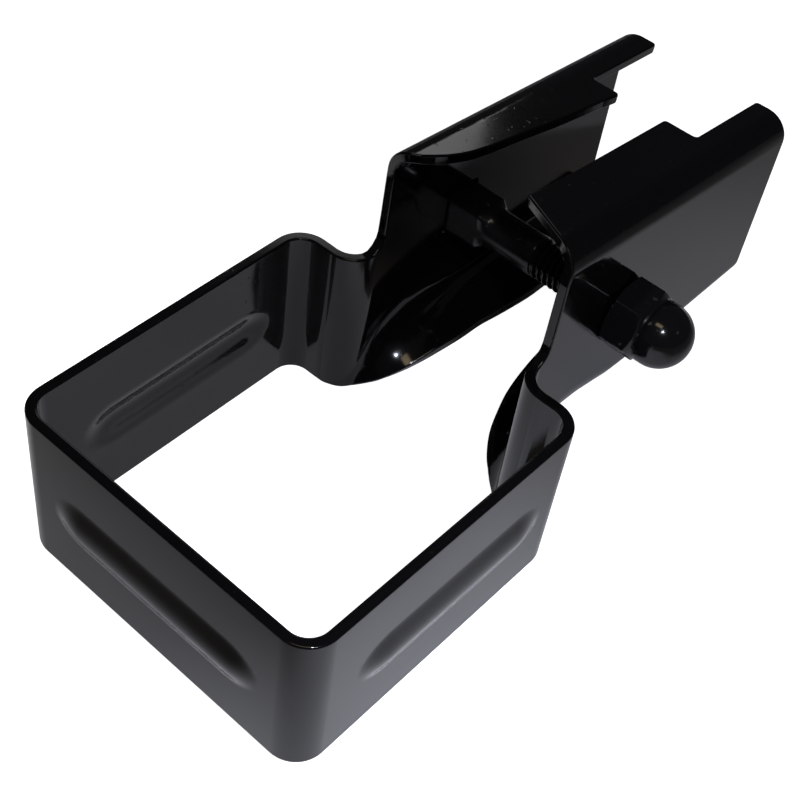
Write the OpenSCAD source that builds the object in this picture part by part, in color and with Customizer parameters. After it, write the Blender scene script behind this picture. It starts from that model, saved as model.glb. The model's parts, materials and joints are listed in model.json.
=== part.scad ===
// Square collar clamp bracket.
// One pressed steel strap is bent into a square collar for a post and opens at the back
// into two tall jaws with inward flanges. A cross bolt and a cap nut draw the jaws together.
// Origin: centre of the square collar, level with the strap's lower edge.
// +X runs along the bolt towards the cap nut, +Y from the collar to the jaws, +Z is up.
// Millimetres.

/* [Strap] */
// sheet thickness
sheet_t = 2; // [1.6:0.1:2.2]
// clear width between opposite collar walls
collar_inner = 63; // [61:0.5:65]
// height of the strap round the collar
strap_h = 33.5; // [32:0.5:35]
// inner radius of the collar corner bends
corner_r = 4; // [3:0.5:5]
// outer radius of the reverse bends at the necks
neck_r = 4; // [3:0.5:4.5]

/* [Stiffening beads] */
// how far each bead stands out from the collar wall
bead_depth = 1.1; // [0.6:0.1:1.4]
// width of the bead's groove at the inner face
bead_w = 12.5; // [9:0.5:14]
// height of the bead's centre line
bead_z = 16.75; // [16:0.25:18]
// length of the bead on the front wall
front_bead_len = 49; // [40:1:51]
// length of the bead on each side wall
side_bead_len = 47.5; // [40:0.5:50]

/* [Jaws] */
// clear width between the jaw plates
jaw_gap = 36.2; // [35:0.2:38]
// distance from the collar centre to the jaws' rear end
jaw_end = 110.9; // [108:0.1:114]
// height of the right jaw's top at its front edge
jaw_top = 57.8; // [56:0.2:59]
// height of the left jaw's top at its front edge
left_jaw_top = 56.6; // [56:0.2:59]
// height of the bottom flange's underside
jaw_bottom = 9.4; // [9:0.1:10]
// inner radius of the flange bends
flange_r = 3; // [2:0.5:3.5]
// distance from the mid plane to the flange tips
flange_tip = 5.1; // [4.5:0.1:6]
// distance from the mid plane to the inner edge of the rear tabs
tab_inner = 12.1; // [11:0.1:13]
// distance from the collar centre to the notch where the tabs start
notch_y = 88.6; // [86:0.1:90]

/* [Bolt and nut] */
// distance from the collar centre to the bolt axis
bolt_y = 61.5; // [58:0.5:63]
// height of the bolt axis
bolt_z = 32; // [31:0.5:34]
// bolt diameter
bolt_d = 8; // [8:0.5:8]
// width of the bolt's square neck
neck_w = 8; // [7.8:0.1:8.2]
// bolt length below the head
bolt_len = 50; // [49:0.5:50.5]
// diameter of the round hole and width of the square hole
hole_w = 9; // [9:0.1:9.6]
// nut width across flats
nut_af = 13; // [12.8:0.1:13.2]
// angle of a nut corner from the vertical, in degrees
nut_turn = 40; // [0:5:55]

/* [Hidden] */
$fn = 96;
eps = 0.01;
ci = collar_inner / 2;
co = ci + sheet_t;
corner_c = ci - corner_r;
plate_in = jaw_gap / 2;
plate_out = plate_in + sheet_t;
neck_x = plate_out + neck_r;
neck_y = co + neck_r;
front_gap = 0.3;
jaw_front = 39.5;
left_jaw_slope = 5.043;
jaw_slope = 6.401;
bend_out = flange_r + sheet_t;
bend_x = plate_in - flange_r;
sweep_y = 58;
sweep_r = 30.9;
sweep_z = jaw_bottom - sweep_r;
head_gap = 0.5;
nut_gap = 0.3;
head_r = 10;
head_h = 5;
head_x = -plate_out - head_gap;
neck_end = -11;
nut_x = plate_out + nut_gap;
hex_h = 6.5;
nut_h = 14.6;
dome_r = 6.25;
bore_r = bolt_d / 2 + 0.05;
bore_depth = 12.5;
steel_black = [0.03, 0.03, 0.035];

// quarter ring, centred on a corner, filling the quadrant +X +Y
module quarter_ring(r_in, r_out) {
  intersection() {
    difference() {
      circle(r_out);
      circle(r_in);
    }
    square(r_out + 1);
  }
}

// pill-shaped solid along X that forms one face of a bead
module bead_tool(r, half) {
  rotate([0, 90, 0])
    cylinder(r = r, h = 2 * half, center = true);
  translate([-half, 0, 0])
    sphere(r);
  translate([half, 0, 0])
    sphere(r);
}

// flat wall along X, outer face at y = 0, inner face at y = sheet_t, with one bead pressed outwards
module beaded_wall(x0, x1, len) {
  groove_r = (bead_w * bead_w / 4 + bead_depth * bead_depth) / (2 * bead_depth);
  axis_y = sheet_t + groove_r - bead_depth;
  half = len / 2 - bead_w / 2;
  difference() {
    union() {
      translate([x0, 0, 0])
        cube([x1 - x0, sheet_t, strap_h]);
      intersection() {
        translate([0, axis_y, bead_z])
          bead_tool(groove_r + sheet_t, half);
        translate([-50, sheet_t / 2 - 10, 0])
          cube([100, 10, strap_h]);
      }
    }
    translate([0, axis_y, bead_z])
      bead_tool(groove_r, half);
  }
}

// outline seen from above of the strap between the side wall and the jaw plate, right side
module shoulder_plan() {
  translate([corner_c, corner_c])
    quarter_ring(corner_r, corner_r + sheet_t);
  translate([neck_x - eps, ci])
    square([corner_c - neck_x + 2 * eps, sheet_t]);
  translate([neck_x, neck_y])
    rotate(180)
      quarter_ring(neck_r, neck_r + sheet_t);
}

// side view of the space a jaw plate and its top flange lie in, Y across and Z up
module jaw_side() {
  difference() {
    polygon([
      [neck_y, 0],
      [neck_y, strap_h],
      [jaw_front, strap_h],
      [jaw_front, 100],
      [jaw_end, 100],
      [jaw_end, jaw_bottom + bend_out],
      [sweep_y, jaw_bottom + bend_out],
      [sweep_y, 0]
    ]);
    translate([sweep_y, sweep_z])
      circle(sweep_r + bend_out, $fn = 180);
  }
  difference() {
    translate([jaw_front - 2, strap_h - eps])
      square([2 + eps, 2]);
    translate([jaw_front - 2, strap_h + 2])
      circle(2);
  }
}

// flange and its bend: X across, Z measured up from the flange's outer face, right side
module flange_profile(leg) {
  square([bend_x, sheet_t]);
  translate([bend_x, bend_out])
    rotate(-90)
      quarter_ring(flange_r, bend_out);
  translate([plate_in, bend_out - eps])
    square([sheet_t, leg]);
}

// outline seen from above of the right jaw plate and its top flange
module right_top_plan() {
  polygon([
    [plate_out + 1, neck_y],
    [plate_in - 0.6, neck_y],
    [plate_in - 0.6, jaw_front],
    [flange_tip - 0.6, 46.2],
    [flange_tip, 52],
    [flange_tip, notch_y],
    [tab_inner, notch_y],
    [tab_inner, jaw_end],
    [plate_out + 1, jaw_end]
  ]);
}

// outline seen from above of the left jaw plate and its top flange, drawn on the right side
module left_top_plan() {
  polygon([
    [plate_out + 1, neck_y],
    [15.5, neck_y],
    [15.1, jaw_front],
    [11.4, 45.2],
    [9.9, 49.2],
    [9, 55],
    [8.2, 63.8],
    [6.9, 71.4],
    [5.7, 84.1],
    [flange_tip, notch_y],
    [tab_inner - 0.5, notch_y],
    [tab_inner - 0.5, jaw_end],
    [plate_out + 1, jaw_end]
  ]);
}

// outline seen from above of the straight part of the bottom flange, right side
module bottom_plan() {
  polygon([
    [plate_out + 1, sweep_y],
    [flange_tip + 1, sweep_y],
    [flange_tip + 0.5, 65],
    [flange_tip, 75],
    [flange_tip, notch_y],
    [tab_inner, notch_y],
    [tab_inner, jaw_end],
    [plate_out + 1, jaw_end]
  ]);
}

// jaw plate with its sloping top flange, cut to the outline given as a child
module plate_and_top_flange(top, slope) {
  intersection() {
    translate([0, jaw_front, top])
      rotate([-slope, 0, 0])
        translate([0, -20, 0])
          rotate([90, 0, 0])
            mirror([0, 0, 1])
              linear_extrude(height = 120)
                mirror([0, 1])
                  flange_profile(70);
    linear_extrude(height = 100)
      children();
    rotate([90, 0, 90])
      linear_extrude(height = 30)
        jaw_side();
  }
}

// level bottom flange with its bend
module bottom_flange() {
  intersection() {
    translate([0, sweep_y, jaw_bottom])
      rotate([90, 0, 0])
        mirror([0, 0, 1])
          linear_extrude(height = 70)
            flange_profile(1);
    linear_extrude(height = 40)
      bottom_plan();
  }
}

// front of the bottom flange, swept down in an arc to the strap's lower edge
module swept_flange() {
  intersection() {
    translate([0, sweep_y, sweep_z])
      rotate([0, 90, 0])
        rotate_extrude($fn = 180)
          translate([sweep_r, 0])
            rotate(90)
              mirror([0, 1])
                flange_profile(0.2);
    translate([46, 62, 0])
      cylinder(r = 40, h = 40, $fn = 180);
    translate([0, co + 0.4, 0])
      cube([plate_out, sweep_y + eps - co - 0.4, 40]);
  }
}

// right half of the strap behind the side wall: shoulder, neck and jaw
module jaw_half(top, slope) {
  linear_extrude(height = strap_h)
    shoulder_plan();
  plate_and_top_flange(top, slope)
    children();
  bottom_flange();
  swept_flange();
}

// right side wall of the collar with its bead
module side_wall() {
  translate([co, 0, 0])
    rotate([0, 0, 90])
      beaded_wall(-corner_c - eps, corner_c + eps, side_bead_len);
}

module strap_frame() {
  color(steel_black)
    difference() {
      union() {
        translate([0, -co, 0])
          beaded_wall(front_gap - corner_c, corner_c + eps, front_bead_len);
        linear_extrude(height = strap_h)
          translate([corner_c, -corner_c])
            rotate(-90)
              quarter_ring(corner_r, corner_r + sheet_t);
        side_wall();
        jaw_half(jaw_top, jaw_slope)
          right_top_plan();
      }
      translate([plate_in - 5, bolt_y, bolt_z])
        rotate([0, 90, 0])
          cylinder(d = hole_w, h = 12);
    }
}

module left_jaw_arm() {
  color(steel_black)
    difference() {
      mirror([1, 0, 0]) {
        linear_extrude(height = strap_h)
          translate([corner_c, -corner_c])
            rotate(-90)
              quarter_ring(corner_r, corner_r + sheet_t);
        side_wall();
        jaw_half(left_jaw_top, left_jaw_slope)
          left_top_plan();
      }
      translate([-plate_out, bolt_y, bolt_z])
        cube([12, hole_w, hole_w], center = true);
    }
}

module carriage_bolt() {
  head_ball = (head_r * head_r + head_h * head_h) / (2 * head_h);
  color(steel_black)
    translate([0, bolt_y, bolt_z]) {
      intersection() {
        translate([head_x + head_ball - head_h, 0, 0])
          sphere(head_ball);
        translate([head_x - 20, -20, -20])
          cube([20, 40, 40]);
      }
      translate([head_x - eps, -neck_w / 2, -neck_w / 2])
        cube([neck_end - head_x, neck_w, neck_w]);
      translate([head_x - eps, 0, 0])
        rotate([0, 90, 0])
          cylinder(d = bolt_d, h = bolt_len - 1);
      translate([head_x + bolt_len - 1 - 2 * eps, 0, 0])
        rotate([0, 90, 0])
          cylinder(d1 = bolt_d, d2 = bolt_d - 2, h = 1);
    }
}

module cap_nut() {
  corner = nut_af / 2 / cos(30);
  color(steel_black)
    translate([nut_x, bolt_y, bolt_z])
      rotate([nut_turn, 0, 0])
        rotate([0, 90, 0])
          difference() {
            union() {
              intersection() {
                cylinder(r = corner, h = hex_h, $fn = 6);
                rotate_extrude()
                  polygon([
                    [0, 0],
                    [nut_af / 2 - 0.1, 0],
                    [corner + 0.1, 0.7],
                    [corner + 0.1, hex_h - 0.9],
                    [dome_r, hex_h],
                    [0, hex_h]
                  ]);
              }
              translate([0, 0, hex_h - 1])
                cylinder(r = dome_r, h = nut_h - dome_r - hex_h + 1);
              translate([0, 0, nut_h - dome_r])
                sphere(dome_r);
            }
            translate([0, 0, -1])
              cylinder(r = bore_r, h = bore_depth + 1);
          }
}

strap_frame();
left_jaw_arm();
carriage_bolt();
cap_nut();
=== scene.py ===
import bisect
import json
import math

import bmesh
import bpy
import numpy as np
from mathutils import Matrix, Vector


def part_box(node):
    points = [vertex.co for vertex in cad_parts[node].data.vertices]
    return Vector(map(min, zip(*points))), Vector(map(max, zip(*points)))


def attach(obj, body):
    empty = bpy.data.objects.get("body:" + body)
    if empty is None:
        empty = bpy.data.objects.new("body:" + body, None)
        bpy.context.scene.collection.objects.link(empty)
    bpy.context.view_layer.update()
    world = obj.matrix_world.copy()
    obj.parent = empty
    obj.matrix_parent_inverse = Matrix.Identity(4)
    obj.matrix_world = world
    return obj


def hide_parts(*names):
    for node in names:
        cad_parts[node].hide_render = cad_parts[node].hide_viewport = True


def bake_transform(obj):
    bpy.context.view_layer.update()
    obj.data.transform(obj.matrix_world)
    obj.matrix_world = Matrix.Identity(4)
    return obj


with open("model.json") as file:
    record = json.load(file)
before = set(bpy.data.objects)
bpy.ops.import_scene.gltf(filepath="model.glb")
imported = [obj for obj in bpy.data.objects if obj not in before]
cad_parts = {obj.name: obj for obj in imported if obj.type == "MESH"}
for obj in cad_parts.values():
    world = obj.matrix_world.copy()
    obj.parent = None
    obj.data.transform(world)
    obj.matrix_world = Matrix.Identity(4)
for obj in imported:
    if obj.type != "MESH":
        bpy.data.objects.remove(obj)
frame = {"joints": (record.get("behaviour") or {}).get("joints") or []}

MM = 0.001
QUARTER = math.pi / 2


def vec(v):
    return [float(x) for x in v]


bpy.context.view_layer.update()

# ---------------------------------------------------------------- sizes read from the frame, in mm
joints = {j["name"]: j for j in frame["joints"]}
frame_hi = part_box("strap_frame")[1] / MM
bolt_lo, bolt_hi = (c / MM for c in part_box("carriage_bolt"))
nut_lo, nut_hi = (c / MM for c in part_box("cap_nut"))
_, BOLT_Y, BOLT_Z = (x / MM for x in joints["bolt_draw"]["pos_m"])
CAD_BEAD = 1.1         # how far the CAD's side bead stands out of the collar
COLLAR = frame_hi.x - CAD_BEAD
JAW_END = frame_hi.y

# ---------------------------------------------------------------- the strap's own sizes, in mm
SHEET = 2.0            # thickness
HALF = SHEET / 2
RIM_R = 0.38           # rounding of the sheet's cut edges
STRAP_H = 33.5         # height of the collar
CORNER = 5.0           # radius of the collar's corners, at the sheet's middle
NECK = 5.0             # radius where the back turns into a jaw
PLATE_X = 19.1         # jaw plates from the centre plane, at the sheet's middle
PLATE_Y = 37.5         # where the flat of the jaw plates starts
JAW_FRONT = 39.5       # front edge of the jaws above the collar
FLANGE_R = 4.0         # bend radius of the flanges
TOP_TO_MID = 1.03      # top flange's outside above the sheet's middle
BOTTOM_Z = 10.4        # height of the bottom flanges, at the sheet's middle
NOTCH_Y = 88.6         # where the flanges are cut back
TIP_X = 5.1            # flange tips from the centre plane, in front of that
TAB_X = 12.1           # and behind it
HOLE_R = 4.5           # round hole's radius, and half of the square hole
HOLE_POINTS = 48
HOLE_WINDOW = 7.5      # half side of the square of sheet that is filled anew round a hole
SQUARE_POWER = 10      # exponent of the square hole's rounded outline
SEAM_S = 26.0          # where strap_front_and_left ends and strap_right starts, along the strap

# stiffening beads
BEAD_Z = 16.2
BEAD_RISE = 1.25
BEAD_HALF_W = 5.4
BEAD_END = 7.5         # length of the run-out at each end
FRONT_BEAD = (0.0, 16.4)   # centre along the wall, half length
SIDE_BEAD = (1.9, 15.6)

# The jaws are no mirror images. edge is the top flange's edge, from the notch forwards, as
# (Y, distance from the centre plane); nose is the set-back and drop of its rounded front corner.
RIGHT = {
    "top": 57.8, "slope": 6.401, "tab": TAB_X, "nose": (0.9, 2.4), "edge_end_r": 0.7,
    "edge": [(NOTCH_Y, TIP_X), (70, 5.1), (56, 5.1), (50.0, 4.9), (46.4, 4.6)],
}
LEFT = {
    "top": 56.6, "slope": 5.043, "tab": TAB_X - 0.5, "nose": (0.35, 1.0), "edge_end_r": 0,
    "edge": [(NOTCH_Y, TIP_X), (84.1, 5.7), (77.5, 6.3), (71.4, 6.9), (63.8, 7.9), (58, 8.5),
             (54, 9.0), (50.2, 9.7), (47.6, 10.5), (45.2, 11.6), (43.2, 12.9), (41.4, 14.2)],
}

# lengths along the right half: half the front, corner, side, corner, back, neck
MID = COLLAR - HALF
C = MID - CORNER
LENGTHS = [C, CORNER * QUARTER, 2 * C, CORNER * QUARTER, C - PLATE_X - NECK, NECK * QUARTER]
S_FRONT, S_SIDE, S_SIDE_END, S_BACK, S_BACK_END, S_PLATE = (
    sum(LENGTHS[:i]) for i in range(1, len(LENGTHS) + 1))


def s_of(y):
    """Distance along the strap of the point of a jaw plate at y."""
    return S_PLATE + y - PLATE_Y


S_END = S_PLATE + JAW_END - PLATE_Y
S_BOLT = s_of(BOLT_Y)


def smooth(knots):
    """Monotone cubic curve through (x, value) pairs, flat outside them."""
    xs = [float(x) for x, _ in knots]
    ys = [float(y) for _, y in knots]
    d = [(ys[i + 1] - ys[i]) / (xs[i + 1] - xs[i]) for i in range(len(xs) - 1)]
    m = [0.0]
    for before, after in zip(d, d[1:]):
        m.append(0.0 if before * after <= 0 else 2 * before * after / (before + after))
    m.append(0.0)

    def f(x):
        if x <= xs[0]:
            return ys[0]
        if x >= xs[-1]:
            return ys[-1]
        i = bisect.bisect_right(xs, x) - 1
        h = xs[i + 1] - xs[i]
        t = (x - xs[i]) / h
        return ((1 + 2 * t) * (1 - t) ** 2 * ys[i] + t * (1 - t) ** 2 * h * m[i]
                + t * t * (3 - 2 * t) * ys[i + 1] + t * t * (t - 1) * h * m[i + 1])
    return f


def bend_start(y, jaw):
    """Height at which the bend of a jaw's top flange starts."""
    top = jaw["top"] - math.tan(math.radians(jaw["slope"])) * (y - JAW_FRONT)
    return top - FLANGE_R - TOP_TO_MID


# The bottom flange sweeps up out of the neck: (distance along the strap, how far its edge
# reaches in, the edge's height, the height at which its bend starts).
SWEEP = [
    (102.4, 0, 0, 0.6), (104.2, 0.32, 0.02, 1.4), (105.6, 0.45, 0.06, 2.6), (107, 0.9, 0.42, 4.6),
    (108.5, 2.52, 1.46, 7.2), (110, 4.92, 3.0, 10.6), (112, 6.82, 4.6, 13.8),
    (114, 8.15, 5.86, 16.0), (117, 9.45, 7.16, 17.6), (121, 10.8, 8.73, 18.4),
    (126, 11.78, 9.61, 18.0), (132, 12.5, BOTTOM_Z, 16.4), (138, 13.3, BOTTOM_Z, 15.0),
    (147, PLATE_X - TIP_X, BOTTOM_Z, BOTTOM_Z + FLANGE_R),
]
TIP_IN, TIP_Z, BEND_Z = (smooth([(row[0], row[i]) for row in SWEEP]) for i in (1, 2, 3))
SWEEP_S = SWEEP[0][0]


def sweep(s):
    """Start height, bend radius, bend angle and straight length of the bottom flange at s."""
    dx, z0 = TIP_IN(s), BEND_Z(s)
    dz = z0 - TIP_Z(s)
    if dx < 1e-4:
        return z0, None, 0.0, dz
    if dz <= dx:
        return z0, dz, QUARTER, dx - dz
    turn = 2 * math.atan(dx / dz)
    return z0, dz / math.sin(turn), turn, 0.0


def tip_v(s):
    """Blank width of the bottom flange's edge at s."""
    z0, radius, turn, straight = sweep(s)
    return z0 - (radius or 0) * turn - straight


def path(s):
    """Point and inward normal in plan of the sheet's middle at distance s, right half."""
    if s <= S_FRONT:
        return (s, -MID), (0, 1)
    if s <= S_SIDE:
        t = (s - S_FRONT) / CORNER - QUARTER
        x, y = math.cos(t), math.sin(t)
        return (C + CORNER * x, -C + CORNER * y), (-x, -y)
    if s <= S_SIDE_END:
        return (MID, -C + s - S_SIDE), (-1, 0)
    if s <= S_BACK:
        t = (s - S_SIDE_END) / CORNER
        x, y = math.cos(t), math.sin(t)
        return (C + CORNER * x, C + CORNER * y), (-x, -y)
    if s <= S_BACK_END:
        return (C - (s - S_BACK), MID), (0, -1)
    if s <= S_PLATE:
        t = -QUARTER - (s - S_BACK_END) / NECK
        x, y = math.cos(t), math.sin(t)
        return (PLATE_X + NECK + NECK * x, PLATE_Y + NECK * y), (x, y)
    return (PLATE_X, PLATE_Y + s - S_PLATE), (-1, 0)


def bead(s, v):
    """How far the stiffening beads push the sheet outwards."""
    if abs(s) > S_SIDE_END:
        return 0.0
    if abs(s) <= S_FRONT:
        place, (centre, half) = s, FRONT_BEAD
    else:
        place, (centre, half) = abs(s) - (S_SIDE + S_SIDE_END) / 2, SIDE_BEAD
    q = math.hypot(max(abs(place - centre) - half, 0) / BEAD_END, (v - BEAD_Z) / BEAD_HALF_W)
    return BEAD_RISE * (1 - q * q) ** 2 if q < 1 else 0.0


def section(s, v, jaw):
    """Reach inwards and height of the sheet's middle at distance s and blank width v."""
    if s > S_PLATE - 1e-6:
        z1 = bend_start(PLATE_Y + s - S_PLATE, jaw)
        if v > z1:
            turn = min((v - z1) / FLANGE_R, QUARTER)
            rest = v - z1 - FLANGE_R * turn
            return FLANGE_R * (1 - math.cos(turn)) + rest, z1 + FLANGE_R * math.sin(turn)
    if s > SWEEP_S:
        z0, radius, turn_max, _ = sweep(s)
        if v < z0 and radius is not None:
            turn = min((z0 - v) / radius, turn_max)
            rest = z0 - v - radius * turn
            return (radius * (1 - math.cos(turn)) + rest * math.sin(turn),
                    z0 - radius * math.sin(turn) - rest * math.cos(turn))
    return 0.0, v


def surface(s, v):
    """Middle of the pressed sheet for a point of the flat blank.

    s runs along the strap from the middle of the front, negative to the left; v is the height on
    the flat blank.
    """
    left = s < 0
    (x, y), (nx, ny) = path(abs(s))
    reach, z = section(abs(s), v, LEFT if left else RIGHT)
    reach -= bead(s, v)
    x, y = x + nx * reach, y + ny * reach
    return (-x if left else x, y, z)


# ---------------------------------------------------------------- the strap's flat blank
def turned(u, t):
    return np.array([u[0] * math.cos(t) - u[1] * math.sin(t),
                     u[0] * math.sin(t) + u[1] * math.cos(t)])


def arc_corner(p, q, r, radius, n=4):
    """Points that round the corner q between p and r, using at most 0.45 of each edge."""
    p, q, r = (np.array(k, float) for k in (p, q, r))
    a, b = p - q, r - q
    la, lb = np.linalg.norm(a), np.linalg.norm(b)
    a, b = a / la, b / lb
    angle = math.acos(max(-1, min(1, float(a @ b))))
    cut = min(radius / math.tan(angle / 2), la * 0.45, lb * 0.45)
    radius = cut * math.tan(angle / 2)
    centre = q + (a + b) / np.linalg.norm(a + b) * radius / math.sin(angle / 2)
    u, w = q + a * cut - centre, q + b * cut - centre
    full = math.atan2(u[0] * w[1] - u[1] * w[0], float(u @ w))
    return [tuple(centre + turned(u, full * i / n)) for i in range(n + 1)]


def top_v(y, x, jaw):
    """Blank width at which a top flange is at distance x from the centre plane."""
    return bend_start(y, jaw) + FLANGE_R * QUARTER + (PLATE_X - FLANGE_R - x)


def bottom_v(x):
    """The same for the straight part of a bottom flange."""
    return BOTTOM_Z + FLANGE_R - FLANGE_R * QUARTER - (PLATE_X - FLANGE_R - x)


MID_SIDE = 60          # a point of the collar's straight edges, near the middle of the side


def half_outline(jaw):
    """One half of the blank, from the bottom at s = 0 round to the top at s = 0."""
    # corner points as (s, v, corner radius): bottom edge, then the swept flange in short steps
    pts = [(0, 0, 0), (MID_SIDE, 0, 0), (SWEEP_S, 0, 0)]
    s = SWEEP_S + 0.5
    while s < s_of(75):
        pts.append((s, tip_v(s), 0))
        s += 0.6 if s < s_of(60) else 2.0
    # rear end, with both flanges cut back at the notch
    notch, tab = s_of(NOTCH_Y), jaw["tab"]
    pts += [(notch, bottom_v(TIP_X), 0.8), (notch, bottom_v(TAB_X), 0.9),
            (S_END, bottom_v(TAB_X), 1.2), (S_END, top_v(JAW_END, tab, jaw), 0.9),
            (notch, top_v(NOTCH_Y, tab, jaw), 0.9)]
    # top flange's edge
    radii = [0.9] + [0] * (len(jaw["edge"]) - 2) + [jaw["edge_end_r"]]
    pts += [(s_of(y), top_v(y, x, jaw), radius) for (y, x), radius in zip(jaw["edge"], radii)]
    # front of the jaw, down to the collar's top
    z1 = bend_start(JAW_FRONT, jaw)
    back, drop = jaw["nose"]
    pts += [(s_of(JAW_FRONT + back), z1 + FLANGE_R * QUARTER - drop, 3.0),
            (s_of(JAW_FRONT), z1 - 2, 0), (s_of(JAW_FRONT - 0.2), STRAP_H + 8, 0),
            (s_of(JAW_FRONT - 0.5), STRAP_H, 4.0), (s_of(JAW_FRONT) - 9, STRAP_H, 0),
            (MID_SIDE, STRAP_H, 0), (0, STRAP_H, 0)]
    out = []
    for i, (s, v, radius) in enumerate(pts):
        if radius:
            out += arc_corner(pts[i - 1][:2], (s, v), pts[i + 1][:2], radius)
        else:
            out.append((s, v))
    return out


def clean(points, tol=0.02):
    """The ring of points without those closer than tol to the one before."""
    out = []
    for q in points:
        if not out or math.dist(out[-1], q) > tol:
            out.append(q)
    if math.dist(out[0], out[-1]) <= tol:
        out.pop()
    return out


def inset(points, d):
    """Moves a polygon's edge inwards by d. Points run anticlockwise."""
    p = np.array(points, float)
    e = np.roll(p, -1, 0) - p
    e /= np.linalg.norm(e, axis=1, keepdims=True)
    normal = np.stack([-e[:, 1], e[:, 0]], 1)
    m = normal + np.roll(normal, 1, 0)
    m /= (m * m).sum(1, keepdims=True) / 2
    return p + m * d


def spans(a, b, step):
    n = max(1, round(abs(b - a) / step))
    return [a + (b - a) * i / n for i in range(n + 1)]


def cuts_along():
    """Grid lines across the strap, from one end to the other: close where it bends."""
    fixed = (SEAM_S, S_BOLT - HOLE_WINDOW, S_BOLT + HOLE_WINDOW)
    runs = (
        (0, S_FRONT - 9, 1.8), (S_FRONT - 9, S_FRONT, 0.9), (S_FRONT, S_SIDE, 0.6),
        (S_SIDE, S_SIDE + 11, 0.9), (S_SIDE + 11, S_SIDE_END - 11, 1.8),
        (S_SIDE_END - 11, S_SIDE_END, 0.9), (S_SIDE_END, S_BACK, 0.6), (S_BACK, S_BACK_END, 1.2),
        (S_BACK_END, S_PLATE, 0.42), (S_PLATE, s_of(52), 0.6), (s_of(52), s_of(74), 1.1),
        (s_of(74), S_END, 2.4),
    )
    half = sorted([s for run in runs for s in spans(*run)] + list(fixed))
    out = [half[0]]
    for s in half[1:]:
        if s - out[-1] > 0.12 or s in fixed:
            out.append(s)
    return [-s for s in reversed(out[1:])] + out


def cuts_across():
    """Grid lines along the strap, from the lowest flange tip to the highest."""
    fixed = (BOLT_Z - HOLE_WINDOW, BOLT_Z + HOLE_WINDOW)
    runs = ((-12, 9.25, 0.62), (9.6, 23.9, 0.44), (43.5, 60.5, 0.62), (60.5, 74, 2.2))
    lines = [v for run in runs for v in spans(*run)] + spans(24, 43.5, 2.2)[1:] + list(fixed)
    out = []
    for v in sorted(lines):
        if not out or v - out[-1] > 0.1:
            out.append(v)
        elif v in fixed:
            out[-1] = v
    return out


def bisect_at(bm, place, direction):
    bmesh.ops.bisect_plane(bm, geom=bm.verts[:] + bm.edges[:] + bm.faces[:], dist=1e-4,
                           plane_co=place, plane_no=direction)


def hole_radius(t, square):
    """Radius at angle t of the bolt hole in the middle of the sheet, inside its rounded rim."""
    reach = HOLE_R + RIM_R * 0.8
    if not square:
        return reach
    c, s = abs(math.cos(t)), abs(math.sin(t))
    return 1 / ((c / reach) ** SQUARE_POWER + (s / reach) ** SQUARE_POWER) ** (1 / SQUARE_POWER)


def cut_hole(bm, cx, square):
    """Replaces the square window round (cx, BOLT_Z) with sheet that has the hole in it."""
    def in_window(p, slack=0.0):
        return (abs(p.x - cx) < HOLE_WINDOW + slack
                and abs(p.y - BOLT_Z) < HOLE_WINDOW + slack)

    inside = [f for f in bm.faces if in_window(f.calc_center_median())]
    bmesh.ops.delete(bm, geom=inside, context="FACES")
    window = [e for e in bm.edges if e.is_boundary and all(in_window(v.co, 0.01) for v in e.verts)]
    hole = []
    for i in range(HOLE_POINTS):
        t = 2 * math.pi * i / HOLE_POINTS
        radius = hole_radius(t, square)
        hole.append(bm.verts.new((cx + radius * math.cos(t), BOLT_Z + radius * math.sin(t), 0)))
    loop = [bm.edges.new((a, b)) for a, b in zip(hole, hole[1:] + hole[:1])]
    bmesh.ops.triangle_fill(bm, use_beauty=True, use_dissolve=False, edges=window + loop)


def blank_mesh():
    """The flat blank as a bmesh, gridded finely where it bends, with the bolt holes cut."""
    ring = half_outline(RIGHT) + [(-s, v) for s, v in half_outline(LEFT)][::-1]
    ring = inset(clean(ring), RIM_R)
    bm = bmesh.new()
    bm.faces.new([bm.verts.new((s, v, 0)) for s, v in ring])
    for s in cuts_along():
        bisect_at(bm, (s, 0, 0), (1, 0, 0))
    for v in cuts_across():
        bisect_at(bm, (0, v, 0), (0, 1, 0))
    cut_hole(bm, -S_BOLT, square=True)
    cut_hole(bm, S_BOLT, square=False)
    bmesh.ops.recalc_face_normals(bm, faces=bm.faces[:])
    for f in bm.faces:
        if f.normal.z < 0:
            f.normal_flip()
    return bm


# ---------------------------------------------------------------- from the blank to the solid strap
SLOPE_STEP = 0.02      # step of the finite differences that give the sheet's directions
RIM_STEPS = 4          # rings in each quarter round of the rim
STRAIGHT = 0.97        # cosine above which the outline counts as straight at a point
MITRE = 0.35           # least divisor of the mitre where the outline turns sharply


def unit(v):
    return v / np.linalg.norm(v)


def outward_at(v, before, after, flat, mid, ds, dv, normal):
    """Direction out of the sheet's edge at border point v, longer where the outline turns."""
    e0, e1 = flat[v] - flat[before], flat[after] - flat[v]
    n0 = np.array([e0[1], -e0[0]]) / np.linalg.norm(e0)
    n1 = np.array([e1[1], -e1[0]]) / np.linalg.norm(e1)
    m = n0 + n1
    m = m / max((m @ m) / 2, MITRE)
    straight = abs(n0 @ n1) > STRAIGHT
    w = unit(ds[v]) * m[0] + unit(dv[v]) * m[1]
    if straight:
        along = unit(mid[after] - mid[before])
        w = w - along * (w @ along)
    w = w - normal[v] * (w @ normal[v])
    return unit(w) * (1.0 if straight else np.linalg.norm(m))


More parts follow.
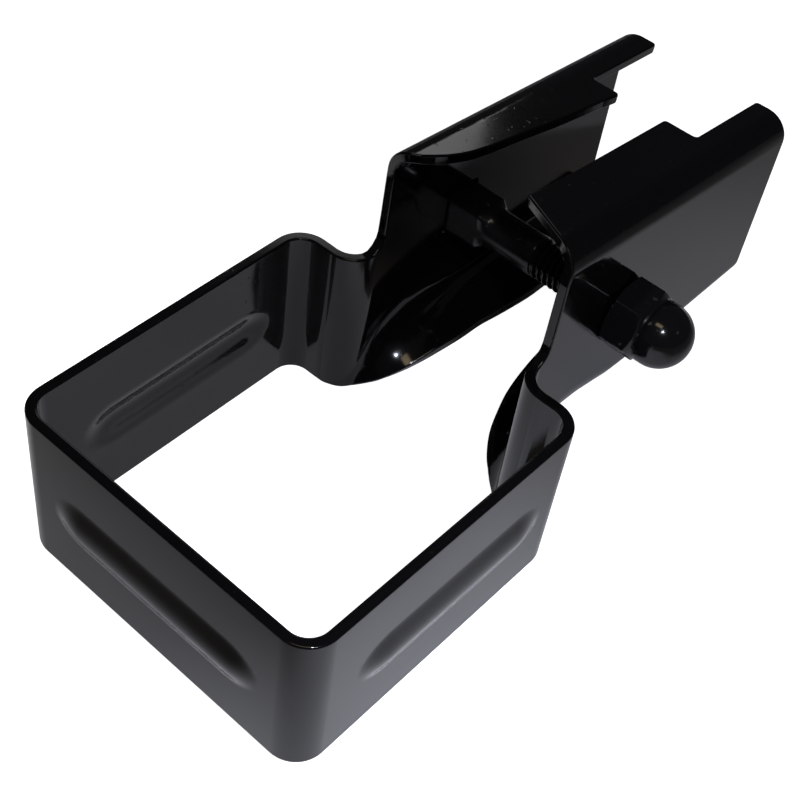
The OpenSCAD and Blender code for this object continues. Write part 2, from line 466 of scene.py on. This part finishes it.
def build_strap():
    """Solid strap: both faces of the sheet and its rounded rims.

    Returns points, normals, faces, and each point's distance along the blank.
    """
    bm = blank_mesh()
    bm.verts.index_update()
    flat = np.array([v.co[:2] for v in bm.verts])
    faces = [[v.index for v in f.verts] for f in bm.faces]
    mid = np.array([surface(s, v) for s, v in flat])

    def slope(axis):
        d = np.zeros(2)
        d[axis] = SLOPE_STEP
        up = np.array([surface(*(p + d)) for p in flat])
        down = np.array([surface(*(p - d)) for p in flat])
        return (up - down) / (2 * SLOPE_STEP)

    ds, dv = slope(0), slope(1)
    normal = np.cross(ds, dv)
    normal /= np.linalg.norm(normal, axis=1, keepdims=True)
    count = len(mid)
    points = [mid + normal * HALF, mid - normal * HALF]
    normals = [normal, -normal]
    blank_s = [flat[:, 0], flat[:, 0]]
    solid = faces + [[i + count for i in reversed(f)] for f in faces]

    # border edges, which run with their face on the left
    edges = dict.fromkeys((a, b) for f in faces for a, b in zip(f, f[1:] + f[:1]))
    after = {a: b for a, b in edges if (b, a) not in edges}
    before = {b: a for a, b in after.items()}
    verts = sorted(after)
    order = {v: i for i, v in enumerate(verts)}
    outward = np.array([outward_at(v, before[v], after[v], flat, mid, ds, dv, normal)
                        for v in verts])
    out_unit = outward / np.linalg.norm(outward, axis=1, keepdims=True)
    vn, vm = normal[verts], mid[verts]

    # rings of the rim, from one face of the sheet round to the other
    outer = [(1, QUARTER * (1 - k / RIM_STEPS)) for k in range(1, RIM_STEPS + 1)]
    inner = [(-1, QUARTER * k / RIM_STEPS) for k in range(RIM_STEPS)]
    starts = []
    for sign, a in outer + inner:
        points.append(vm + vn * sign * (HALF - RIM_R)
                      + RIM_R * (outward * math.cos(a) + vn * sign * math.sin(a)))
        normals.append(out_unit * math.cos(a) + vn * sign * math.sin(a))
        blank_s.append(flat[verts, 0])
        starts.append(2 * count + len(starts) * len(verts))
    for v in verts:
        w = after[v]
        ring_v = [v] + [start + order[v] for start in starts] + [v + count]
        ring_w = [w] + [start + order[w] for start in starts] + [w + count]
        for i in range(len(ring_v) - 1):
            solid.append([ring_w[i], ring_v[i], ring_v[i + 1], ring_w[i + 1]])
    return np.vstack(points), np.vstack(normals), solid, np.concatenate(blank_s)


def mesh_object(name, points, faces, normals=None, sharp=None):
    """Smooth-shaded object from mm points, with given normals or edges sharp above an angle."""
    me = bpy.data.meshes.new(name)
    me.from_pydata([tuple(float(c) * MM for c in p) for p in points], [], faces)
    me.validate()
    me.shade_smooth()
    if normals is not None:
        me.normals_split_custom_set_from_vertices([vec(n) for n in normals])
    elif sharp is not None:
        me.set_sharp_from_angle(angle=math.radians(sharp))
    me.update()
    o = bpy.data.objects.new(name, me)
    bpy.context.scene.collection.objects.link(o)
    return o


def part_of(points, normals, faces, keep):
    """Points, faces and normals of the faces kept."""
    used = sorted({i for f in faces if keep(f) for i in f})
    new = {i: k for k, i in enumerate(used)}
    return points[used], [[new[i] for i in f] for f in faces if keep(f)], normals[used]


# ---------------------------------------------------------------- paint
SPECKS, DRIFT, WAVES, PEEL = 900, 60, 45, 420              # noise scales, per metre
SPECK_RISE, WAVE_RISE, PEEL_RISE = 0.00005, 0.0006, 0.00004    # bump heights, in metres
SPECK_STRENGTH = 0.2


def noise(nt, source, scale, detail):
    n = nt.nodes.new("ShaderNodeTexNoise")
    n.inputs["Scale"].default_value = scale
    n.inputs["Detail"].default_value = detail
    n.inputs["Roughness"].default_value = 0.5
    nt.links.new(source, n.inputs["Vector"])
    return n.outputs["Fac"]


def ramp(nt, source, stops):
    r = nt.nodes.new("ShaderNodeValToRGB")
    while len(r.color_ramp.elements) < len(stops):
        r.color_ramp.elements.new(0.5)
    for el, (pos, value) in zip(r.color_ramp.elements, stops):
        el.position = pos
        el.color = (value, value, value, 1)
    nt.links.new(source, r.inputs["Fac"])
    return r.outputs["Color"]


def bump(nt, height, strength, distance, after=None):
    b = nt.nodes.new("ShaderNodeBump")
    b.inputs["Strength"].default_value = strength
    b.inputs["Distance"].default_value = distance
    nt.links.new(height, b.inputs["Height"])
    if after is not None:
        nt.links.new(after, b.inputs["Normal"])
    return b.outputs["Normal"]


def gloss_black(name, base, dust, rough, wave):
    """Thick gloss enamel: slight waves, specks of dust under the gloss, roughness that drifts."""
    mat = bpy.data.materials.new(name)
    mat.use_nodes = True
    nt = mat.node_tree
    shader = nt.nodes["Principled BSDF"]
    shader.inputs["Metallic"].default_value = 0.0
    shader.inputs["IOR"].default_value = 1.5
    where = nt.nodes.new("ShaderNodeTexCoord").outputs["Object"]
    specks = ramp(nt, noise(nt, where, SPECKS, 1.0), [(0.0, 0.0), (0.70, 0.0), (0.78, 1.0)])
    mix = nt.nodes.new("ShaderNodeMix")
    mix.data_type = "RGBA"
    mix.inputs["A"].default_value = (*base, 1)
    mix.inputs["B"].default_value = (*dust, 1)
    nt.links.new(specks, mix.inputs["Factor"])
    nt.links.new(mix.outputs["Result"], shader.inputs["Base Color"])
    drift = ramp(nt, noise(nt, where, DRIFT, 3.0), [(0.3, rough[0]), (0.7, rough[1])])
    nt.links.new(drift, shader.inputs["Roughness"])
    waves = bump(nt, noise(nt, where, WAVES, 1.0), wave, WAVE_RISE)
    peel = bump(nt, noise(nt, where, PEEL, 2.0), wave, PEEL_RISE, waves)
    dots = bump(nt, specks, SPECK_STRENGTH, SPECK_RISE, peel)
    nt.links.new(dots, shader.inputs["Normal"])
    return mat


# ---------------------------------------------------------------- strap
points, normals, faces, blank_s = build_strap()


def before_seam(face):
    return sum(blank_s[i] for i in face) / len(face) < SEAM_S


left_strap = mesh_object("strap_front_and_left", *part_of(points, normals, faces, before_seam))
right_strap = mesh_object(
    "strap_right", *part_of(points, normals, faces, lambda face: not before_seam(face)))
strap_mat = gloss_black(
    "strap_paint", (0.0022, 0.0022, 0.0025), (0.008, 0.008, 0.009), (0.07, 0.12), 0.05)
for o in (left_strap, right_strap):
    o.data.materials.append(strap_mat)


# ---------------------------------------------------------------- turned pieces, on the bolt's axis
def lofted(name, rows, around, radius, sharp):
    """Closed object about the bolt's axis.

    Each row starts with its X; radius(row, angle) gives its ring, and zero closes an end.
    """
    angles = [2 * math.pi * i / around for i in range(around)]
    pts, faces, rings = [], [], []
    for row in rows:
        radii = [radius(row, t) for t in angles]
        if max(radii) < 1e-4:
            rings.append([len(pts)])
            pts.append((row[0], 0, 0))
        else:
            rings.append(list(range(len(pts), len(pts) + around)))
            pts += [(row[0], r * math.cos(t), r * math.sin(t)) for r, t in zip(radii, angles)]
    for a, b in zip(rings, rings[1:]):
        for i in range(around):
            j = (i + 1) % around
            if len(a) == 1:
                faces.append([a[0], b[j], b[i]])
            elif len(b) == 1:
                faces.append([a[i], a[j], b[0]])
            else:
                faces.append([a[i], a[j], b[j], b[i]])
    return mesh_object(name, [(x, y + BOLT_Y, z + BOLT_Z) for x, y, z in pts], faces, sharp=sharp)


# carriage bolt: radii and X positions in mm
PITCH = 1.25
SHANK_R = 4.0
PLAIN_R = SHANK_R - 0.08   # shank without thread
HEAD_R = 10.0
HEAD_H = 5.0
HEAD_RINGS = 18
NECK_HALF = 4.0            # half of the square neck
NECK_END = -11.0
NECK_POWER = 12            # exponent of the square neck's rounded outline
THREAD_START = 1.0
THREAD_END = bolt_hi.x
THREAD_DEPTH = 0.62
THREAD_FADE = 1.6          # length over which the thread gains its full depth
THREAD_RINGS = 10          # rings in each pitch
POINT_H = 1.3              # length of the tapered end
POINT_SLOPE = 0.75


def bolt_rows():
    """Rows (x, radius, how square, whether threaded) from the head's top to the bolt's end."""
    under = bolt_lo.x + HEAD_H
    ball = (HEAD_R ** 2 + HEAD_H ** 2) / (2 * HEAD_H)
    top = math.asin((HEAD_R - 0.25) / ball)
    turns = [top * i / HEAD_RINGS for i in range(HEAD_RINGS + 1)]
    rows = [(under - HEAD_H + ball * (1 - math.cos(t)), ball * math.sin(t), 0, False)
            for t in turns]
    rows += [(under - 0.25, HEAD_R, 0, False), (under - 0.05, HEAD_R - 0.06, 0, False),
             (under, HEAD_R - 0.3, 0, False), (under, 7.5, 0, False), (under, 5.7, 1, False),
             (under + 0.25, NECK_HALF + 0.05, 1, False), (NECK_END - 0.3, NECK_HALF, 1, False)]
    rows += [(NECK_END + 0.25 * k, NECK_HALF, 1 - k / 7, False) for k in range(8)]
    rows += [(NECK_END + 3, PLAIN_R, 0, False), (THREAD_START - 2, PLAIN_R, 0, False)]
    length = THREAD_END - THREAD_START
    n = int(length / PITCH * THREAD_RINGS)
    rows += [(THREAD_START + length * i / n, None, 0, True) for i in range(n + 1)]
    return rows + [(THREAD_END, 2.2, 0, False), (THREAD_END, 0, 0, False)]


def thread_radius(x, t):
    """Radius of the helical thread at x and angle t."""
    phase = (x / PITCH - t / (2 * math.pi)) % 1.0
    ridge = 1 - abs(2 * phase - 1)
    ridge = min(max((ridge - 0.12) / 0.72, 0), 1)
    fade = min(max((x - THREAD_START) / THREAD_FADE, 0), 1)
    crest = SHANK_R - max(0, x - (THREAD_END - POINT_H)) * POINT_SLOPE
    root = SHANK_R - THREAD_DEPTH
    return min(crest, root + THREAD_DEPTH * (ridge * fade + (1 - fade)))


def bolt_radius(row, t):
    x, r, square, threaded = row
    if threaded:
        return thread_radius(x, t)
    if not square:
        return r
    c, s = abs(math.cos(t)), abs(math.sin(t))
    flat = r / (c ** NECK_POWER + s ** NECK_POWER) ** (1 / NECK_POWER)
    return flat * square + min(r, SHANK_R) * (1 - square)


bolt = lofted("carriage_bolt_detailed", bolt_rows(), 96, bolt_radius, sharp=32)
bolt_mat = gloss_black(
    "bolt_black", (0.006, 0.006, 0.0065), (0.03, 0.03, 0.032), (0.16, 0.26), 0.06)
bolt.data.materials.append(bolt_mat)

# cap nut: a six-sided base with turned chamfers, then a groove and a dome
FLAT_R = 6.5               # half across the flats
CORNER_R = FLAT_R / math.cos(math.pi / 6)
DOME_R = 6.25
DOME_RINGS = 22
HEX_H = 6.5
NUT_TURN = math.radians(40)


def nut_rows():
    """Rows (x, turned radius) from the bottom of the thread hole to the dome's top."""
    x0, x1 = nut_lo.x, nut_hi.x
    rows = [(x0 + 3, 0), (x0 + 3, 3.4), (x0 + 0.5, 3.6), (x0, 4.1), (x0, FLAT_R - 0.15),
            (x0 + 0.12, FLAT_R + 0.05)]
    rows += [(x0 + 0.12 + 0.5 * k / 5, FLAT_R + 0.05 + 1.1 * k / 5) for k in range(1, 6)]
    rows += [(x0 + HEX_H * k / 6, CORNER_R + 0.3) for k in range(1, 6)]
    drop = CORNER_R + 0.2 - DOME_R - 0.12
    rows += [(x0 + HEX_H - 0.95 + 0.85 * k / 6, CORNER_R + 0.2 - drop * (k / 6))
             for k in range(7)]
    rows += [(x0 + HEX_H, DOME_R - 0.02), (x0 + HEX_H + 0.35, DOME_R - 0.12),
             (x0 + HEX_H + 0.7, DOME_R)]
    turns = [QUARTER * k / DOME_RINGS for k in range(DOME_RINGS + 1)]
    rows += [(x1 - DOME_R + DOME_R * math.sin(t), DOME_R * math.cos(t)) for t in turns]
    return [(x, 0.0 if r < 1e-3 else r) for x, r in rows]


def nut_radius(row, t):
    t = (t - QUARTER - NUT_TURN) % (math.pi / 3)
    side = FLAT_R / math.cos(abs(t - math.pi / 6))
    return min(row[1], side, CORNER_R - 0.12)


nut = lofted("cap_nut_detailed", nut_rows(), 288, nut_radius, sharp=24)
nut_mat = gloss_black(
    "nut_black", (0.005, 0.005, 0.0056), (0.03, 0.03, 0.032), (0.09, 0.15), 0.05)
nut.data.materials.append(nut_mat)

# ---------------------------------------------------------------- what each piece rides on
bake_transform(left_strap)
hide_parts("left_jaw_arm")
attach(right_strap, "frame")
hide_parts("strap_frame")
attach(bolt, "bolt")
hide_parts("carriage_bolt")
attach(nut, "nut")
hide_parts("cap_nut")

# ---------------------------------------------------------------- floor and background
# Both are white to the camera. What the gloss paint reflects is the lit floor and a dark room.
FLOOR_Z = -0.0004          # just under the strap's rim, which is 0.2 mm below zero
FLOOR_HALF = 6.0
floor_me = bpy.data.meshes.new("floor")
floor_me.from_pydata(
    [(x * FLOOR_HALF, y * FLOOR_HALF, FLOOR_Z) for x, y in ((-1, -1), (1, -1), (1, 1), (-1, 1))],
    [], [(0, 1, 2, 3)])
floor = bpy.data.objects.new("floor", floor_me)
bpy.context.scene.collection.objects.link(floor)
floor_mat = bpy.data.materials.new("floor_pale")
floor_mat.use_nodes = True
nt = floor_mat.node_tree
shader = nt.nodes["Principled BSDF"]
shader.inputs["Base Color"].default_value = (0.85, 0.85, 0.86, 1)
shader.inputs["Roughness"].default_value = 0.9
shader.inputs["Emission Color"].default_value = (1, 1, 1, 1)
nt.links.new(nt.nodes.new("ShaderNodeLightPath").outputs["Is Camera Ray"],
             shader.inputs["Emission Strength"])
floor_me.materials.append(floor_mat)

world = bpy.data.worlds.new("studio")
bpy.context.scene.world = world
world.use_nodes = True
nt = world.node_tree
dark = nt.nodes["Background"]
dark.inputs["Color"].default_value = (0.03, 0.03, 0.034, 1)
pale = nt.nodes.new("ShaderNodeBackground")
pale.inputs["Color"].default_value = (1, 1, 1, 1)
pick = nt.nodes.new("ShaderNodeMixShader")
nt.links.new(nt.nodes.new("ShaderNodeLightPath").outputs["Is Camera Ray"], pick.inputs[0])
nt.links.new(dark.outputs[0], pick.inputs[1])
nt.links.new(pale.outputs[0], pick.inputs[2])
nt.links.new(pick.outputs[0], nt.nodes["World Output"].inputs["Surface"])


# ---------------------------------------------------------------- lights and camera, in metres
def aimed(name, data, place, target, glossy):
    o = bpy.data.objects.new(name, data)
    o.location = place
    o.rotation_euler = (Vector(target) - Vector(place)).to_track_quat("-Z", "Y").to_euler()
    o.visible_glossy = glossy
    bpy.context.scene.collection.objects.link(o)


def area(name, place, target, size, power, colour=(1, 1, 1), glossy=True):
    data = bpy.data.lights.new(name, "AREA")
    data.shape = "RECTANGLE"
    data.size, data.size_y = size
    data.energy = power
    data.color = colour
    aimed(name, data, place, target, glossy)


def spot(name, place, target, cone, radius, power, colour=(1, 1, 1), glossy=True):
    data = bpy.data.lights.new(name, "SPOT")
    data.spot_size = math.radians(cone)
    data.spot_blend = 1.0
    data.shadow_soft_size = radius
    data.energy = power
    data.color = colour
    aimed(name, data, place, target, glossy)


CAM_AT = Vector((101.591, -120.082, 207.979)) * MM
CAM_TURN = (41.6461, -5.4544, 42.5190)     # degrees
CAM_R = Vector((0.7337, 0.6728, 0.0951))   # to the camera's right
CAM_U = Vector((-0.5516, 0.5081, 0.6615))  # up from the camera

# a flash beside the lens, as three soft pools on the floor: x, y, cone in degrees, power
COOL = (0.94, 0.98, 1.10)
FLASH_AT = CAM_AT + CAM_R * 0.050 + CAM_U * 0.028
FLASH_R = 0.006
for name, x, y, cone, power in (("front", -0.0156, 0.0007, 29.8, 1.36),
                                ("side", 0.0595, -0.013, 29.9, 1.78),
                                ("back", 0.0344, 0.0887, 31.6, 1.28)):
    spot("flash_" + name, FLASH_AT, (x, y, 0), cone, FLASH_R, power, COOL)

# a warm lamp above the camera, and a window that the top flanges mirror: side, power
WARM = (1.0, 0.80, 0.52)
area("warm_lamp", CAM_AT + CAM_U * 0.13, (0.02, 0.05, 0.02), (0.11, 0.05), 0.05, WARM)
FLANGE_AT = Vector((-0.012, 0.045, 0.056))
WINDOW_AT = FLANGE_AT + 1.2 * Vector((-0.513, 0.655, 0.530))
for i, (side, power) in enumerate(((0.13, 0.085), (0.32, 0.46))):
    area("window_%d" % i, WINDOW_AT, FLANGE_AT, (side, side), power)

# pools on the floor that the walls turned away from the camera mirror: x, y, cone in degrees
WASH_Z = 0.5
WASH_R = 0.02
WASH_POWER = 9.0
for name, x, y, cone in (("left", -0.130, -0.005, 24), ("back", 0.0, 0.270, 24),
                         ("front", -0.02, -0.168, 18)):
    spot("wash_" + name, (x, y, WASH_Z), (x, y, 0), cone, WASH_R, WASH_POWER, glossy=False)
area("soft_top", (0.3, -0.2, 1.6), (0, 0.03, 0), (0.9, 0.9), 1.2, glossy=False)

cam_data = bpy.data.cameras.new("camera")
camera = bpy.data.objects.new("camera", cam_data)
bpy.context.scene.collection.objects.link(camera)
camera.location = CAM_AT
camera.rotation_euler = [math.radians(a) for a in CAM_TURN]
bpy.context.scene.camera = camera
cam_data.sensor_width = 36.0
cam_data.lens = 64.861
cam_data.shift_x = 0.03955
cam_data.shift_y = 0.02966
cam_data.clip_start = 0.01
bpy.context.scene.view_settings.view_transform = "Standard"
